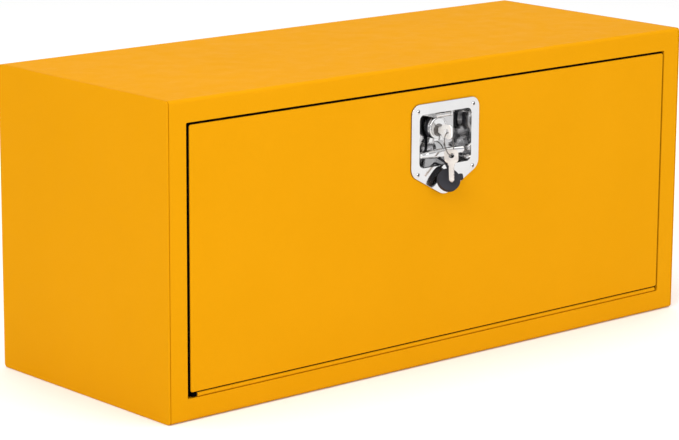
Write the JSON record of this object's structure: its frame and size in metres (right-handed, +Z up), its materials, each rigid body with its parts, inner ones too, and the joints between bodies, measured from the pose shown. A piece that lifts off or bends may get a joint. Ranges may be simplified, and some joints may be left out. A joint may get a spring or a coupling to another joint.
{
  "type": "underbody toolbox",
  "caption": "Rectangular sheet-steel vehicle toolbox with a drop-down front door, sill piano hinge, slotted door stays and a keyed folding T-handle latch in a recessed steel pan.",
  "frame": {"origin": "centre of the box's floor footprint, on the surface it stands on", "axes": "+X along the box's length to the right of the door, -Y out of the door, +Z up"},
  "size_m": [0.914, 0.3851, 0.406],
  "materials": {
    "yellow_paint": "semi-gloss powder coat",
    "polished_steel": "polished stainless",
    "lock_metal": "bright nickel plate",
    "key_metal": "nickel plate",
    "black_foam": "matte",
    "black_rubber": "matte",
    "zinc_plate": "zinc plated"
  },
  "bodies": {
    "box": {"body_wrap": "yellow_paint", "end_panel_right": "yellow_paint", "end_panel_left": "yellow_paint", "door_frame": "yellow_paint", "door_seal": "black_rubber", "cam_strike": "yellow_paint", "hinge_frame_leaf": "yellow_paint", "hinge_pin": "zinc_plate", "hinge_frame_rivets": "zinc_plate", "stay_bracket_right": "yellow_paint", "stay_bracket_left": "yellow_paint", "stay_stud_right": "zinc_plate", "stay_stud_left": "zinc_plate"},
    "door": {"door_skin": "yellow_paint", "door_liner": "yellow_paint", "door_edge_strip": "black_foam", "door_stiffeners": "yellow_paint", "hinge_door_leaf": "yellow_paint", "hinge_door_rivets": "zinc_plate", "latch_pan": "polished_steel", "pan_gasket": "black_rubber", "pan_rivets": "polished_steel", "handle_bracket": "polished_steel", "fold_pin": "polished_steel", "spindle_bush": "zinc_plate", "stay_lug_right": "zinc_plate", "stay_lug_left": "zinc_plate", "stay_pivot_right": "zinc_plate", "stay_pivot_left": "zinc_plate"},
    "handle": {"t_handle": "polished_steel", "lock_sleeve": "lock_metal", "dust_cap": "black_rubber"},
    "key": {"lock_plug": "lock_metal", "key_in_lock": "key_metal"},
    "spare_key": {"key_ring": "key_metal", "second_key": "key_metal"},
    "cam": {"spindle": "zinc_plate", "cam_plate": "zinc_plate", "cam_nut": "zinc_plate"},
    "stay_right": {"stay_strap_right": "zinc_plate"},
    "stay_left": {"stay_strap_left": "zinc_plate"}
  },
  "joints": [
    {"name": "door_hinge", "type": "hinge", "parent": "box", "child": "door", "pos_m": [0, -0.1751, 0.032], "axis": [1, 0, 0], "range_deg": [0, 85]},
    {"name": "stay_right_pivot", "type": "hinge", "parent": "door", "child": "stay_right", "pos_m": [0.398, -0.144, 0.20929], "axis": [1, 0, 0], "range_deg": [-43, 0.5]},
    {"name": "stay_left_pivot", "type": "hinge", "parent": "door", "child": "stay_left", "pos_m": [-0.398, -0.144, 0.20929], "axis": [1, 0, 0], "range_deg": [-43, 0.5]},
    {"name": "handle_fold", "type": "hinge", "parent": "door", "child": "handle", "pos_m": [0.0028, -0.174, 0.3355], "axis": [-1, 0, 0], "range_deg": [0, 75]},
    {"name": "key_turn", "type": "hinge", "parent": "handle", "child": "key", "pos_m": [0.0028, -0.165, 0.3135], "axis": [0, 1, 0], "range_deg": [0, 90]},
    {"name": "cam_turn", "type": "hinge", "parent": "door", "child": "cam", "pos_m": [0.0028, -0.15, 0.3165], "axis": [0, 1, 0], "range_deg": [0, 90]},
    {"name": "ring_swing", "type": "hinge", "parent": "key", "child": "spare_key", "pos_m": [0.0028, -0.1825, 0.3119], "axis": [-0.9063, -0.4226, 0], "range_deg": [0, 40]}
  ],
  "couplings": [
    {"joint": "stay_right_pivot", "follows": "door_hinge", "ratio": -0.5},
    {"joint": "stay_left_pivot", "follows": "door_hinge", "ratio": -0.5},
    {"joint": "cam_turn", "follows": "key_turn", "ratio": 1}
  ]
}
